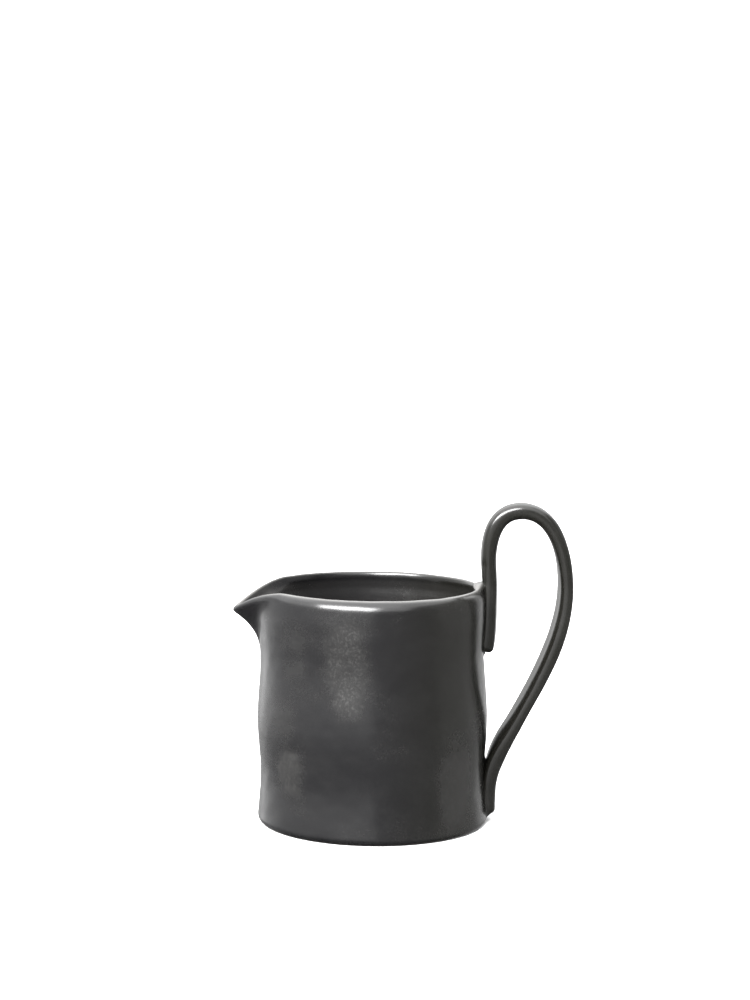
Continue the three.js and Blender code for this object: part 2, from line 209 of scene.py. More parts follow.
def closed_skin(name: str, grid: Array, first_pole: Array, last_pole: Array) -> bpy.types.Object:
    """Makes a closed mesh of a grid of rings and the two poles that close its ends.

    The points lean along -X by their height times the lean, and are then put in metres.

    Args:
        name: The piece's name.
        grid: Rings of points in millimetres, rows by columns by 3, turning anticlockwise
            as seen from outside the last pole.
        first_pole: The point that closes the first ring.
        last_pole: The point that closes the last ring.

    Returns:
        The piece, at the origin, with smooth shading.
    """
    rows, columns, _ = grid.shape
    points = np.concatenate([grid.reshape(-1, 3), first_pole[None], last_pole[None]])
    points = points - np.array([LEAN, 0.0, 0.0]) * points[:, 2:3]
    here = np.arange(columns)
    following = (here + 1) % columns
    first, last = rows * columns, rows * columns + 1
    start = np.stack([np.full(columns, first), following, here], axis=-1)
    end_row = (rows - 1) * columns
    end = np.stack([np.full(columns, last), end_row + here, end_row + following], axis=-1)
    faces = closed_grid_faces(rows, columns).tolist() + start.tolist() + end.tolist()
    mesh = bpy.data.meshes.new(name)
    mesh.from_pydata((points * MM).tolist(), [], faces)
    mesh.polygons.foreach_set("use_smooth", np.ones(len(faces), dtype=bool))
    mesh.update()
    piece = bpy.data.objects.new(name, mesh)
    bpy.context.scene.collection.objects.link(piece)
    return piece


# Finishes


class Signal:
    """A number that varies over a surface: an output socket with Python's arithmetic."""

    def __init__(self, tree: "ShaderTree", socket: bpy.types.NodeSocket) -> None:
        """Wraps an output socket of a tree."""
        self.tree = tree
        self.socket = socket

    def _math(self, operation: str, first: "Number", second: "Number" = 0.0) -> "Signal":
        """Adds a Math node with one or two numbers and returns its result."""
        return self.tree.node("ShaderNodeMath", {"operation": operation}, {0: first, 1: second})

    def __add__(self, other: "Number") -> "Signal":
        """Returns self + other."""
        return self._math("ADD", self, other)

    __radd__ = __add__

    def __sub__(self, other: "Number") -> "Signal":
        """Returns self - other."""
        return self._math("SUBTRACT", self, other)

    def __rsub__(self, other: "Number") -> "Signal":
        """Returns other - self."""
        return self._math("SUBTRACT", other, self)

    def __mul__(self, other: "Number") -> "Signal":
        """Returns self * other."""
        return self._math("MULTIPLY", self, other)

    __rmul__ = __mul__

    def __pow__(self, other: "Number") -> "Signal":
        """Returns self to the power of other."""
        return self._math("POWER", self, other)

    def smooth(self, low: float, high: float) -> "Signal":
        """Runs smoothly from 0 where the number is low to 1 where it is high.

        Args:
            low: The value that gives 0.
            high: The value that gives 1.

        Returns:
            A number from 0 to 1.
        """
        settings = {"interpolation_type": "SMOOTHSTEP"}
        inputs = {"Value": self, "From Min": low, "From Max": high}
        return self.tree.node("ShaderNodeMapRange", settings, inputs)


Number = Union[Signal, float]


class ShaderTree:
    """A material's or the world's nodes, made by one method."""

    def __init__(self, owner: Union[bpy.types.Material, bpy.types.World]) -> None:
        """Clears the owner's nodes and gets ready to add new ones."""
        owner.use_nodes = True
        self.tree = owner.node_tree
        self.tree.nodes.clear()

    def node(
        self,
        kind: str,
        settings: Mapping[str, Any] | None = None,
        inputs: Mapping[int | str, Any] | None = None,
        output: int | str = 0,
    ) -> Signal:
        """Adds a node: its settings first, then the values or links of its sockets.

        Args:
            kind: The node's type.
            settings: Properties of the node, such as its operation.
            inputs: Values or signals by socket name or number.
            output: The socket that the result is read from.

        Returns:
            The chosen output.
        """
        made = self.tree.nodes.new(kind)
        for name, value in (settings or {}).items():
            setattr(made, name, value)
        for key, value in (inputs or {}).items():
            if isinstance(value, Signal):
                self.tree.links.new(value.socket, made.inputs[key])
            else:
                made.inputs[key].default_value = value
        if len(made.outputs) == 0:
            return Signal(self, made.inputs[0])
        return Signal(self, made.outputs[output])

    def noise(self, place: Signal, size: float, detail: float, roughness: float = 0.5) -> Signal:
        """Adds cloud-like noise.

        Args:
            place: The vector that the pattern lies on, in metres.
            size: Size of the largest clouds, in millimetres.
            detail: How many finer layers are added.
            roughness: How strong each finer layer is.

        Returns:
            A number of about 0.3 to 0.7, 0.5 on average.
        """
        inputs = {"Vector": place, "Scale": 1 / (size * MM), "Detail": detail, "Roughness": roughness}
        return self.node("ShaderNodeTexNoise", {}, inputs, "Fac")

    def stretched(self, place: Signal, scale: Sequence[float], shift: Sequence[float]) -> Signal:
        """Returns a vector times a scale, plus a shift."""
        inputs = {"Vector": place, "Scale": tuple(scale), "Location": tuple(shift)}
        return self.node("ShaderNodeMapping", {}, inputs)

    def blend(self, share: Number, first: Any, second: Any) -> Signal:
        """Mixes two colours.

        Args:
            share: 0 gives the first colour and 1 the second.
            first: A colour or a signal.
            second: A colour or a signal.

        Returns:
            The mixed colour.
        """
        colours = [c if isinstance(c, Signal) else (*c, 1.0) for c in (first, second)]
        inputs = {0: share, 6: colours[0], 7: colours[1]}
        settings = {"data_type": "RGBA", "clamp_factor": True}
        return self.node("ShaderNodeMix", settings, inputs, 2)

    def patch(self, place: Signal, centre: Sequence[float], radii: Sequence[float]) -> Signal:
        """Marks a soft-edged ellipsoid.

        Args:
            place: Object coordinates in metres.
            centre: Its middle, in millimetres.
            radii: Its half sizes, in millimetres.

        Returns:
            1 in the middle, falling to 0 at the ellipsoid's skin.
        """
        scale = [1 / (r * MM) for r in radii]
        shift = [-c / r for c, r in zip(centre, radii)]
        away = self.node(
            "ShaderNodeVectorMath",
            {"operation": "LENGTH"},
            {0: self.stretched(place, scale, shift)},
            "Value",
        )
        return away.smooth(1.0, 0.25)

    def part(self, vector: Signal, axis: int) -> Signal:
        """Returns one of a vector's three numbers."""
        return self.node("ShaderNodeSeparateXYZ", {}, {0: vector}, axis)


@dataclass(frozen=True)
class CloudAndLightPatch:
    """A place painted lighter and rougher, with its middle and half sizes in millimetres; some are clouds in
    the glaze and some are painted highlight and painted light.
    """

    centre: tuple[float, float, float]
    radii: tuple[float, float, float]
    strength: float


@dataclass(frozen=True)
class Glaze:
    """Dark charcoal semi-gloss glaze, clouded and finely speckled, with painted highlights and painted light
    laid on as lighter colour.
    """

    name: str
    dark: Colour = (0.0030, 0.0029, 0.0027)
    # lighter colour for clouds in the glaze and for the painted highlight and painted light of the patches
    cloudy_and_lit: Colour = (0.0130, 0.0125, 0.0120)
    thin_and_lit: Colour = (0.075, 0.073, 0.070)  # painted highlight along the crest, where the glaze also runs thin, and painted light inside the mouth
    olive: Colour = (0.0054, 0.0053, 0.0038)
    violet: Colour = (0.0047, 0.0046, 0.0055)
    gloss_roughness: float = 0.23
    cloud_roughness: float = 0.42
    brushing: float = 0.25  # the gloss is streaked up and down by fine level ridges
    cloud_size: float = 24.0
    speckle_size: float = 0.9
    grain_height: float = 0.018
    ridge_share: float = 0.9
    patches: tuple[CloudAndLightPatch, ...] = ()

    def material(self) -> bpy.types.Material:
        """Builds the glaze: clouds, speckles, painted highlights and painted light move its colour,
        roughness and fine relief.

        Returns:
            The material.
        """
        made = bpy.data.materials.new(self.name)
        tree = ShaderTree(made)
        place = tree.node("ShaderNodeTexCoord", {}, {}, "Object")
        wiped = tree.stretched(place, (1.0, 1.0, 1.5), (0.013, 0.021, 0.007))
        broad = tree.noise(wiped, self.cloud_size, 3.0).smooth(0.40, 0.66)
        veil = tree.noise(wiped, self.cloud_size / 3, 6.0, 0.62)
        speckle = tree.noise(place, self.speckle_size, 2.0, 0.7).smooth(0.47, 0.72)
        marked: Number = 0.0
        for patch in self.patches:
            marked = tree.patch(place, patch.centre, patch.radii) * patch.strength + marked
        torn = (marked + (veil - 0.5) * 3.2 * marked).smooth(0.08, 0.80)
        # the patches add painted highlight and painted light to the glaze's own clouds
        cloud_and_light = broad * 0.19 + veil.smooth(0.42, 0.70) * 0.12 + torn * 0.45 + marked * 0.40
        flecked_cloud_and_light = cloud_and_light * (0.55 + speckle * 0.75)
        side = tree.part(place, 0).smooth(-0.002, 0.034)
        tint = tree.blend(side, self.violet, self.olive)
        body = tree.blend(0.55, self.dark, tint)
        colour = tree.blend(flecked_cloud_and_light, body, self.cloudy_and_lit)
        # painted highlight along the crest and painted light inside the mouth, mixed in as a lighter colour
        thin_and_lit = tree.node("ShaderNodeAttribute", {"attribute_name": THIN_GLAZE_AND_PAINTED_LIGHT}, {}, "Fac")
        colour = tree.blend(thin_and_lit, colour, self.thin_and_lit)
        roughness = self.gloss_roughness + flecked_cloud_and_light * (self.cloud_roughness - self.gloss_roughness)
        level_lines = tree.stretched(place, (1.0, 1.0, 4.0), (0.0, 0.0, 0.0))
        ridges = tree.noise(level_lines, 3.6, 2.0, 0.6)
        grain = tree.noise(place, 2.6, 3.0, 0.55) + tree.noise(place, self.speckle_size, 1.0) * 0.25
        grain = grain + ridges * self.ridge_share
        bump = tree.node(
            "ShaderNodeBump",
            {},
            {"Strength": 1.0, "Distance": self.grain_height * MM, "Height": grain},
        )
        shader = tree.node(
            "ShaderNodeBsdfPrincipled",
            {},
            {
                "Base Color": colour,
                "Roughness": roughness,
                "IOR": 1.5,
                "Anisotropic": self.brushing,
                "Anisotropic Rotation": 0.25,
                "Normal": bump,
            },
        )
        tree.node("ShaderNodeOutputMaterial", {}, {"Surface": shader})
        return made


@dataclass(frozen=True)
class BareClay:
    """Dark stoneware wiped bare of glaze: matt, grainy, with fine sand showing."""

    name: str = "bare_clay"
    clay: Colour = (0.060, 0.046, 0.036)
    sand: Colour = (0.165, 0.135, 0.105)
    scorched: Colour = (0.030, 0.024, 0.020)

    def material(self) -> bpy.types.Material:
        """Builds the clay: broad scorching, sand grains and a sandy relief.

        Returns:
            The material.
        """
        made = bpy.data.materials.new(self.name)
        tree = ShaderTree(made)
        place = tree.node("ShaderNodeTexCoord", {}, {}, "Object")
        fired = tree.noise(place, 22.0, 3.0).smooth(0.38, 0.66)
        grains = tree.noise(place, 0.7, 3.0, 0.7)
        colour = tree.blend(fired, self.clay, self.scorched)
        colour = tree.blend(grains.smooth(0.60, 0.72) * 0.7, colour, self.sand)
        roughness = 0.82 + grains * 0.12
        bump = tree.node("ShaderNodeBump", {}, {"Distance": 0.12 * MM, "Height": grains})
        shader = tree.node(
            "ShaderNodeBsdfPrincipled",
            {},
            {"Base Color": colour, "Roughness": roughness, "Normal": bump},
        )
        tree.node("ShaderNodeOutputMaterial", {}, {"Surface": shader})
        return made


# The jug


@dataclass
class CupForm:
    """The cup's sizes in millimetres, and the surfaces that follow from them."""

    rim_height: float = field(default_factory=lambda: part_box("spouted_wall")[1].z / MM)
    floor_thickness: float = field(default_factory=lambda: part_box("floor_slab")[1].z / MM)
    body_radius: float = 39.6
    wall_thickness: float = 3.4
    mouth_taper: float = 0.6
    swell: float = 0.48
    swell_pitch: float = 40.0
    swell_height: float = 36.5
    foot_flare: float = 0.2
    foot_flare_height: float = 6.0
    foot_rounding: float = 2.4
    seam_size: float = 4.0
    rim_outside: float = 4.0
    rim_inside: tuple[float, float] = (1.0, 2.6)  # at the front of the photograph and behind
    crest_share: tuple[float, float] = (0.90, 0.62)
    finger_groove: float = 0.3
    finger_groove_drop: float = 5.7
    finger_groove_width: float = 3.2
    spout_projection: float = 8.8
    spout_root_height: float = 57.0
    spout_tip_height: float = 73.0
    spout_lip_height: float = 2.2
    spout_curve: float = 2.75
    spout_nose_rounding: float = 0.6
    spout_half_angle: float = math.radians(52)
    spout_blunting: float = math.radians(1.8)
    spout_blend: float = 1.4
    spout_flare: float = 0.2
    spout_wall: float = 2.4
    spout_lip_rounding: float = 2.2
    spout_fade_start: float = math.radians(24)
    spout_fade_end: float = math.radians(42)
    lip_sink: float = 7.3
    lip_sink_length: float = 15.5
    lip_sink_curve: float = 1.34
    seat_length: float = 22.9
    seat_press: float = 0.9
    seat_press_width: float = 6.0
    seat_fade: float = 5.6

    def radius(self, z: Array) -> Array:
        """Works out the wall's outer radius: soft rings, a taper to the mouth, a flared foot.

        Args:
            z: Heights.

        Returns:
            body radius + a cosine over the height - taper times the climb squared + a foot that
            dies away upwards.
        """
        ring = self.swell * np.cos(2 * math.pi * (z - self.swell_height) / self.swell_pitch)
        climb = np.maximum(0.0, (z - self.swell_height) / (self.rim_height - self.swell_height))
        foot = self.foot_flare * np.exp(-z / self.foot_flare_height)
        return self.body_radius + ring - self.mouth_taper * climb**2 + foot

    def keel(self, angle: Array, z: Array) -> Array:
        """Works out how far the spout stands out at its middle line, for the level of a flank.

        Args:
            angle: Angles round the cup.
            z: Heights.

        Returns:
            A power curve that sweeps out, turned up into the nearly upright lip, which follows
            the crest: the smooth least of the two, and never below 0.
        """
        under_lip = self.rim_level(angle) - self.spout_lip_height
        rise = np.maximum(0.0, z - self.spout_root_height) / (under_lip - self.spout_root_height)
        nose = self.spout_projection + self.spout_flare * (z - self.spout_tip_height)
        full = self.spout_projection + self.spout_flare * (under_lip - self.spout_tip_height)
        underside = full * rise**self.spout_curve
        least = (underside + nose - np.hypot(underside - nose, self.spout_nose_rounding)) / 2
        return np.maximum(0.0, least)

    @staticmethod
    def from_spout(angle: Array) -> Array:
        """Returns the angle from the middle of the spout."""
        return np.abs(np.arctan2(np.sin(angle), -np.cos(angle)))

    @staticmethod
    def from_handle(angle: Array) -> Array:
        """Returns the angle from the middle of the handle."""
        return np.abs(np.arctan2(np.sin(angle), np.cos(angle)))

    def flank_bulge(self, angle: Array, circle: Array, reach: Array) -> Array:
        """Works out how far a level line stands out from its circle at the spout.

        Args:
            angle: Angles round the cup.
            circle: Radius of the level circle.
            reach: How far its middle stands out.

        Returns:
            Two straight flanks that meet at the middle, by the rule of sines, blunted there and
            run into the circle through a hollow; 0 away from the spout.
        """
        away = self.from_spout(angle)
        blunted = np.hypot(away, self.spout_blunting) - self.spout_blunting
        turn = np.minimum(self.spout_half_angle + blunted, math.pi / 2)
        flank = (circle + reach) * math.sin(self.spout_half_angle) / np.sin(turn) - circle
        blend = self.spout_blend * np.sqrt(np.maximum(reach, 0.0) / self.spout_projection)
        bulge = (flank + np.hypot(flank, blend)) / 2
        bulge = bulge * (1 - smooth_step(self.spout_fade_start, self.spout_fade_end, away))
        return np.where(reach > 0, bulge, 0.0)

    def press(self, angle: Array, z: Array) -> Array:
        """Returns how far the wall is pushed in behind the handle's upper seat."""
        foot = self.rim_height - self.seat_length
        upward = smooth_step(foot - self.seat_fade, foot + self.seat_fade, z)
        across = self.from_handle(angle) * self.body_radius
        return self.seat_press * upward * bell(across, self.seat_press_width)

    def outer(self, angle: Array, z: Array) -> Array:
        """Returns the radius of the outer face."""
        circle = self.radius(z)
        return circle + self.flank_bulge(angle, circle, self.keel(angle, z)) - self.press(angle, z)

    def inner(self, angle: Array, z: Array) -> Array:
        """Returns the radius of the inner face, with the groove left by a finger below the rim."""
        circle = self.radius(z) - self.wall_thickness
        pinched = self.wall_thickness - self.spout_wall / math.sin(self.spout_half_angle)
        gain = 1 + pinched / self.spout_projection
        bulge = self.flank_bulge(angle, circle, self.keel(angle, z) * gain)
        below = z - (self.rim_level(angle) - self.finger_groove_drop)
        groove = self.finger_groove * bell(below, self.finger_groove_width / 2)
        return circle + bulge - self.press(angle, z) + groove

    def _plan(self, angle: Array) -> Array:
        """Returns the radius of the lip's outline, seen from above."""
        circle = self.radius(np.array(self.spout_tip_height))
        reach = np.full(np.shape(angle), self.spout_projection)
        return circle + self.flank_bulge(angle, circle, reach)

    def rim_level(self, angle: Array) -> Array:
        """Returns the height of the lip's crest: level, and sinking along the spout."""
        tip = float(self._plan(np.array(math.pi)))
        along = -self._plan(angle) * np.cos(angle) - (tip - self.lip_sink_length)
        share = np.maximum(0.0, along / self.lip_sink_length)
        return self.rim_height - self.lip_sink * share**self.lip_sink_curve

    def behind(self, angle: Array) -> Array:
        """Returns 0 at the front of the photograph, rising smoothly to 1 at the back."""
        return smooth_step(-0.6, 0.6, np.sin(angle))

    def crest_place(self, angle: Array) -> Array:
        """Returns where the crest lies in the wall, as a share from the outer face."""
        front, back = self.crest_share
        return front + (back - front) * self.behind(angle)

    def rounding_inside(self, angle: Array) -> Array:
        """Returns the height of the inner rounding."""
        front, back = self.rim_inside
        return front + (back - front) * self.behind(angle)

    def rounding_outside(self, angle: Array) -> Array:
        """Returns the height of the outer rounding, which is lower at the spout."""
        spout = 1 - smooth_step(0.0, self.spout_fade_start, self.from_spout(angle))
        return self.rim_outside + (self.spout_lip_rounding - self.rim_outside) * spout


@dataclass
class HandleForm:
    """The handle's sizes in millimetres, and the centre line that follows from them."""

    cup: CupForm
    coil_radius: float = 2.8
    half_breadth: float = 5.0  # the coil is pressed flatter, so it is broader across the jug
    breadth_stops: tuple[tuple[float, float], ...] = (
        (0.0, 5.4), (60.0, 5.6), (100.0, 4.6), (132.0, 4.2), (150.0, 4.2), (164.0, 5.0)
    )
    squareness_stops: tuple[tuple[float, float], ...] = (
        (0.0, 4.0), (14.0, 4.0), (28.0, 3.0), (96.0, 3.0), (112.0, 2.8), (130.0, 2.8),
        (144.0, 2.0), (158.0, 4.5)
    )
    twist_stops: tuple[tuple[float, float], ...] = (
        (8.0, 0.04), (16.0, 0.04), (28.0, -0.14), (84.0, -0.14), (104.0, 0.0), (146.0, 0.0),
        (158.0, 0.10)
    )
    unevenness: float = 0.17
    uneven_pitch: float = 65.0
    thick_place: float = 63.0
    arch_height: float = 26.5
    arch_top_reach: float = 12.0
    arch_foot_height: float = 9.5
    arch_foot_reach: float = 0.55
    reach: float = 27.2
    widest_height: float = 83.1
    shoulder: tuple[float, float] = (14.25, 43.3)
    elbow: tuple[float, float] = (9.5, 34.6)
    lower_tangents: tuple[float, float] = (10.0, 3.5)
    upper_tangents: tuple[float, float] = (20.4, 11.0)
    outer_tangents: tuple[float, float] = (12.1, 11.1)
    inner_tangents: tuple[float, float] = (8.9, 8.4)
    crown: tuple[float, float] = (2.5, 10.5)
    seat_offset: float = -0.1
    lower_seat: tuple[float, float] = (2.8, 20.5)
    lower_offset: float = 1.15
    flattening: float = 0.7
    thickening: float = 0.5
    end_rounding: float = 2.2

    @staticmethod
    def _bezier(corners: Sequence[Array], count: int = 60) -> Array:
        """Returns points of a Bezier curve: its corners weighted by the binomial terms."""
        share = np.linspace(0, 1, count, endpoint=False)[:, None]
        order = len(corners) - 1
        terms = (
            math.comb(order, i) * share**i * (1 - share) ** (order - i) * corner
            for i, corner in enumerate(corners)
        )
        return sum(terms)

    @cached_property
    def path(self) -> Array:
        """The centre line as evenly spaced points 0.1 mm apart, from its lower end.

        It runs up the lower seat, bends out to the straight slant, sweeps up to its widest
        point, over the arch and down on the upper seat.
        """

        def at(reach: float, z: float) -> Array:
            return np.array([self.cup.body_radius + reach, 0.0, z])

        rim = self.cup.rim_height
        bottom, top = self.lower_seat
        up, out = np.array([0.0, 0.0, 1.0]), np.array([1.0, 0.0, 0.0])
        lower_bend = at(self.lower_offset, (bottom + top) / 2)
        elbow, shoulder = at(*self.elbow), at(*self.shoulder)
        widest = at(self.reach, self.widest_height)
        arch_top = at(self.arch_top_reach, rim + self.arch_height)
        arch_foot = at(self.arch_foot_reach, rim + self.arch_foot_height)
        crown = at(self.crown[0], rim - self.crown[1])
        upper_end = at(self.seat_offset, rim - self.cup.seat_length)
        slant = (shoulder - elbow) / np.linalg.norm(shoulder - elbow)
        lower, upper = self.lower_tangents, self.upper_tangents
        outer, inner = self.outer_tangents, self.inner_tangents
        stretches = [
            [at(self.lower_offset, bottom), lower_bend],
            [lower_bend, lower_bend + up * lower[0], elbow - slant * lower[1], elbow],
            [elbow, shoulder],
            [shoulder, shoulder + slant * upper[0], widest - up * upper[1], widest],
            [widest, widest + up * outer[0], arch_top + out * outer[1], arch_top],
            [arch_top, arch_top - out * inner[0], arch_foot + up * inner[1], arch_foot],
            [arch_foot, arch_foot - up * self.arch_foot_height / 2, crown, upper_end],
        ]
        points = np.concatenate([self._bezier(s) for s in stretches] + [upper_end[None]])
        lengths = np.linalg.norm(np.diff(points, axis=0), axis=1)
        run = np.concatenate([[0.0], np.cumsum(lengths)])
        even = np.linspace(0, run[-1], int(run[-1] / 0.1) + 1)
        return np.stack([np.interp(even, run, points[:, k]) for k in range(3)], axis=-1)

    @cached_property
    def length(self) -> float:
        """The centre line's length."""
        return float(np.linalg.norm(np.diff(self.path, axis=0), axis=1).sum())

    def along(self, distance: Array) -> tuple[Array, Array]:
        """Finds points of the centre line and its directions there.

        Args:
            distance: Distances from the lower end.

        Returns:
            The points, and the unit tangents.
        """
        run = np.linspace(0, self.length, len(self.path))
        tangents = np.gradient(self.path, axis=0)
        place = [np.interp(distance, run, self.path[:, k]) for k in range(3)]
        toward = np.stack([np.interp(distance, run, tangents[:, k]) for k in range(3)], axis=-1)
        toward /= np.linalg.norm(toward, axis=-1, keepdims=True)
        return np.stack(place, axis=-1), toward

    def half_thickness(self, z: Array, distance: Array) -> Array:
        """Works out half the coil's thickness, seen from the side.

        Args:
            z: Heights of the centre line.
            distance: Distances from the lower end.

        Returns:
            The coil's radius, a little thicker and thinner by turns, flattened at the lower
            end and swollen just above its lower seat.
        """
        turn = 2 * math.pi * (distance - self.thick_place) / self.uneven_pitch
        half = self.coil_radius + self.unevenness * np.cos(turn)
        flat = self.flattening * (1 - smooth_step(*self.lower_seat, z))
        middle = (self.lower_seat[1] + self.elbow[1]) / 2
        swollen = self.thickening * bell(z - middle, self.elbow[1] / 4)
        return half + np.where(distance > self.thick_place, 0.0, swollen - flat)


    @staticmethod
    def _between(stops: Sequence[tuple[float, float]], distance: Array) -> Array:
        """Returns values in straight steps between stops along the coil."""
        places, values = zip(*stops)
        return np.interp(distance, places, values)

    def section(self, z: Array, distance: Array, turn: Array) -> tuple[Array, Array]:
        """Works out the coil's section: a squared oval, slanted along X by its place across.

        A point is half thickness times the cosine and half breadth times the sine, each to a
        power, and then slanted. The thickness is lowered to leave the width seen from the side
        as it is: thickness^q + (slant times breadth)^q is kept, where q = n / (n - 1) and n is
        the squareness.

        Args:
            z: Heights of the centre line.
            distance: Distances from the lower end.
            turn: Angles round the section, in radians.

        Returns:
            Distances outward, and distances across along +Y, rows by columns.
        """
        broad = self._between(self.breadth_stops, distance)[:, None]
        squareness = self._between(self.squareness_stops, distance)[:, None]
        kept = squareness / (squareness - 1)
        slant = self._between(self.twist_stops, distance)[:, None]
        _, toward = self.along(distance)
        slant = slant * toward[:, 2:3]
        full = 0.985 * self.half_thickness(z, distance)[:, None]
        deep = (full**kept - (np.abs(slant) * broad) ** kept) ** (1 / kept)
        cosine, sine = np.cos(turn)[None, :], np.sin(turn)[None, :]
        across = broad * np.sign(sine) * np.abs(sine) ** (2 / squareness)
        outward = deep * np.sign(cosine) * np.abs(cosine) ** (2 / squareness) + slant * across
        return outward, across


@dataclass
class GlazedCup:
    """The glazed skin of the cup, with the clay that joins the handle to it."""

    form: CupForm
    handle: HandleForm
    columns: int = 440
    foot_rows: int = 7
    wall_rows: int = 104
    rim_rows: int = 11
    lip_rows: int = 7
    inside_rows: int = 56
    seam_rows: int = 9
    floor_rows: int = 10
    glaze_line: float = 0.35  # the glaze ends this far above the table
    fillet_height: float = 0.7
    fillet_width: float = 1.0
    fillet_hollow: float = 2.2
    foot_clay: float = 1.1  # low down the joining clay is this much broader and higher
    foot_clay_edges: tuple[float, float] = (10.0, 17.0)
    web_height: float = 4.2  # on the rim the joining clay climbs this far up the coil
    web_width: float = 4.6
    unevenness: float = 0.10
    thin_and_lit_edge: float = 0.3  # the glaze runs thin, and a highlight is painted, within about this height of the crest
    # painted light inside the mouth, growing upwards, with more of it inside the spout
    painted_light_inside: float = 0.08
    painted_light_inside_edges: tuple[float, float] = (56.0, 78.0)
    painted_light_spout: float = 0.14
    painted_light_spout_edges: tuple[float, float] = (0.5, 0.9)  # radians from the middle of the spout
    dents: tuple[Dent, ...] = ()

    def angles(self) -> Array:
        """Returns angles all round, closer together at the spout and at the handle."""
        even = np.linspace(0, 2 * math.pi, 4001)
        spout, handle = self.form.from_spout(even), self.form.from_handle(even)
        density = 1 + 1.1 * bell(spout, 0.55) + 1.6 * bell(handle, 0.2)
        run = np.concatenate([[0], np.cumsum((density[1:] + density[:-1]) / 2)])
        wanted = np.linspace(0, run[-1], self.columns, endpoint=False)
        return np.interp(wanted, run, even)

    def skin(self) -> tuple[Array, Array, Array]:
        """Works out the plain skin, from the foot over the rim to the middle of the floor.

        Returns:
            The points as rows by columns by 3, their angles, and 1 where a row is on the
            outside or the rim and 0 inside.
        """
        form, angle = self.form, self.angles()[None, :]
        crest = form.rim_level(angle)
        outside, inside = form.rounding_outside(angle), form.rounding_inside(angle)
        share_out = form.crest_place(angle)
        rows: list[Array] = []

        lowest = math.acos(1 - self.glaze_line / form.foot_rounding)
        edge = form.radius(np.array(form.foot_rounding)) - form.foot_rounding * (1 - math.sin(lowest))
        share = np.array([0.25, 0.5, 0.75, 0.93, 0.985])[:, None]
        rows.append(cylinder_points(angle, edge * share, np.array(self.glaze_line)))
        turn = np.linspace(lowest, math.pi / 2, self.foot_rows, endpoint=False)[:, None]
        radius = form.radius(np.array(form.foot_rounding)) - form.foot_rounding * (1 - np.sin(turn))
        rows.append(cylinder_points(angle, radius, form.foot_rounding * (1 - np.cos(turn))))

        share = np.linspace(0, 1, self.wall_rows, endpoint=False)[:, None]
        z = form.foot_rounding + (crest - outside - form.foot_rounding) * share
        rows.append(cylinder_points(angle, form.outer(angle, z), z))

        share = np.sin(np.linspace(0, math.pi / 2, self.rim_rows))[:, None]
        z = crest - outside + outside * share
        inset = share_out * (form.outer(angle, z) - form.inner(angle, z))
        rows.append(cylinder_points(angle, form.outer(angle, z) - inset * rounding_inset(share), z))
        share = np.sin(np.linspace(math.pi / 2, 0, self.lip_rows)[1:])[:, None]
        z = crest - inside + inside * share
        inset = (1 - share_out) * (form.outer(angle, z) - form.inner(angle, z))
        rows.append(cylinder_points(angle, form.inner(angle, z) + inset * rounding_inset(share), z))
        outer_count = sum(len(row) for row in rows)

        seam_top = form.floor_thickness + form.seam_size
        share = np.linspace(0, 1, self.inside_rows + 1)[1:, None]
        z = (crest - inside) + (seam_top - crest + inside) * share
        rows.append(cylinder_points(angle, form.inner(angle, z), z))
        turn = np.linspace(math.pi / 2, 0, self.seam_rows)[1:, None]
        corner = form.inner(angle, np.array(seam_top))
        z = form.floor_thickness + form.seam_size * (1 - np.cos(turn))
        rows.append(cylinder_points(angle, corner - form.seam_size * (1 - np.sin(turn)), z))
        share = np.linspace(1, 0, self.floor_rows + 1)[1:-1, None]
        radius = (corner - form.seam_size) * share
        rows.append(cylinder_points(angle, radius, np.array(form.floor_thickness)))

        grid = np.concatenate(rows)
        outer_side = (np.arange(len(grid)) < outer_count).astype(float)[:, None]
        return grid, angle, outer_side

    def joining_clay(self, grid: Array) -> Array:
        """Works out how high the joining clay stands on the skin beside the handle.

        Args:
            grid: Points of the plain skin.

        Returns:
            fillet height times (1 - gap to the coil / fillet width) to a power, where the gap
            is the distance to the centre line less the coil's half thickness.
        """
        height = np.zeros(grid.shape[:2])
        reach = self.handle.half_breadth + self.web_width
        near = (grid[..., 0] > 30.0) & (np.abs(grid[..., 1]) < reach)
        points = grid[near]
        end = self.handle.end_rounding
        distance = np.linspace(end, self.handle.length - end, 700)
        line, _ = self.handle.along(distance)
        half = self.handle.half_thickness(line[:, 2], distance)
        gap = np.full(len(points), np.inf)
        for block in np.array_split(np.arange(len(line)), 14):
            away = points[:, None, :] - line[None, block, :]
            beside = np.maximum(0.0, np.abs(away[..., 1]) - (self.handle.half_breadth - half[block]))
            apart = np.sqrt(away[..., 0] ** 2 + away[..., 2] ** 2 + beside**2)
            gap = np.minimum(gap, (apart - half[None, block]).min(axis=1))
        rim = self.form.rim_height
        on_rim = smooth_step(rim - 3.0, rim - 0.5, points[:, 2])
        on_rim = on_rim * smooth_step(self.form.body_radius - 0.5, self.form.body_radius - 2.5, points[:, 0])
        low = 1 - smooth_step(*self.foot_clay_edges, points[:, 2])
        width = self.fillet_width + (self.web_width - self.fillet_width) * on_rim
        width = width + self.foot_clay * low
        full = self.fillet_height + (self.web_height - self.fillet_height) * on_rim
        full = full + self.foot_clay * low
        share = 1 - np.clip(gap, 0.0, width) / width
        height[near] = full * share**self.fillet_hollow
        return height * smooth_step(0.6, 4.0, grid[..., 2])

